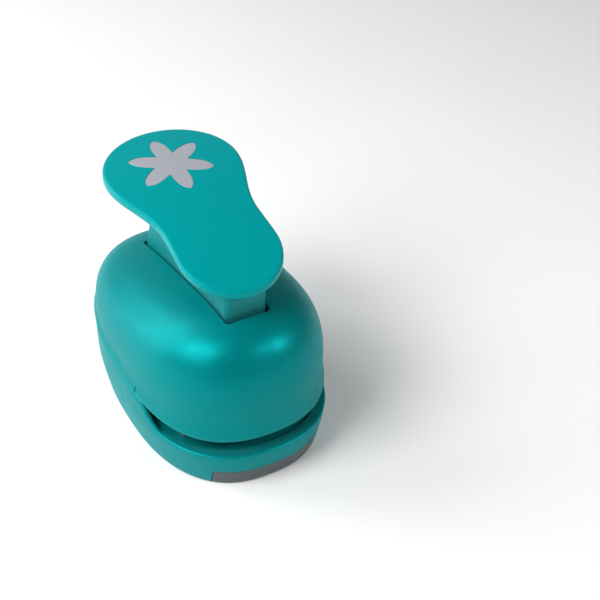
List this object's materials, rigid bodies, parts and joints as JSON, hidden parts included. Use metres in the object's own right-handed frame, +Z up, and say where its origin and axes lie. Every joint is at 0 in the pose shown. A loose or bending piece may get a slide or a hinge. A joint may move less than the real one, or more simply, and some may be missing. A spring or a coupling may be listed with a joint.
{
  "type": "craft punch",
  "caption": "Desktop lever craft punch that cuts a six-petal flower from paper slid into its front mouth, with a peanut-shaped pressing plate and a pull-out chip tray.",
  "frame": {"origin": "centre of the footprint, on the surface the punch stands on", "axes": "+Z up, -Y towards the paper mouth and chip tray front, +X to the right seen from the mouth"},
  "size_m": [0.0548, 0.0814, 0.0654],
  "materials": {
    "teal_shell": "satin moulded plastic with a fine grain",
    "teal_plate": "smooth satin-gloss moulded plastic",
    "silver_inlay": "flat silver-lilac print film",
    "grey_tray": "semi-gloss moulded plastic",
    "zinc": "die-cast zinc, satin",
    "steel": "bright ground steel"
  },
  "bodies": {
    "housing": {"base_shell": "teal_shell", "body_shell": "teal_shell", "die_plate": "zinc", "spacer_bar": "zinc", "guide_plate": "zinc", "die_screws": "steel", "die_mount_screws": "steel", "guide_posts": "steel", "post_clips": "steel", "return_spring_left": "steel", "return_spring_right": "steel", "pivot_bracket": "zinc", "bracket_screws": "steel", "hinge_pin": "steel", "pin_clips": "steel", "housing_screws": "steel"},
    "lever": {"lever_stem": "teal_shell", "lever_plate": "teal_plate", "flower_inlay": "silver_inlay", "press_pin": "steel"},
    "punch": {"punch_carrier": "zinc", "male_punch": "steel", "punch_screws": "steel"},
    "tray": {"chip_tray": "grey_tray"}
  },
  "joints": [
    {"name": "lever_hinge", "type": "hinge", "parent": "housing", "child": "lever", "pos_m": [0, -0.0205, 0.028], "axis": [-1, 0, 0], "range_deg": [0, 12], "stiffness_Nm_per_rad": 1, "springref_deg": -6.88},
    {"name": "punch_slide", "type": "slide", "parent": "housing", "child": "punch", "axis": [0, 0, -1], "range_m": [0, 0.0038], "deforming": ["return_spring_left", "return_spring_right"]},
    {"name": "tray_slide", "type": "slide", "parent": "housing", "child": "tray", "axis": [0, -1, 0], "range_m": [0, 0.032]}
  ],
  "couplings": [
    {"joint": "punch_slide", "follows": "lever_hinge", "m_per_rad": 0.018}
  ]
}
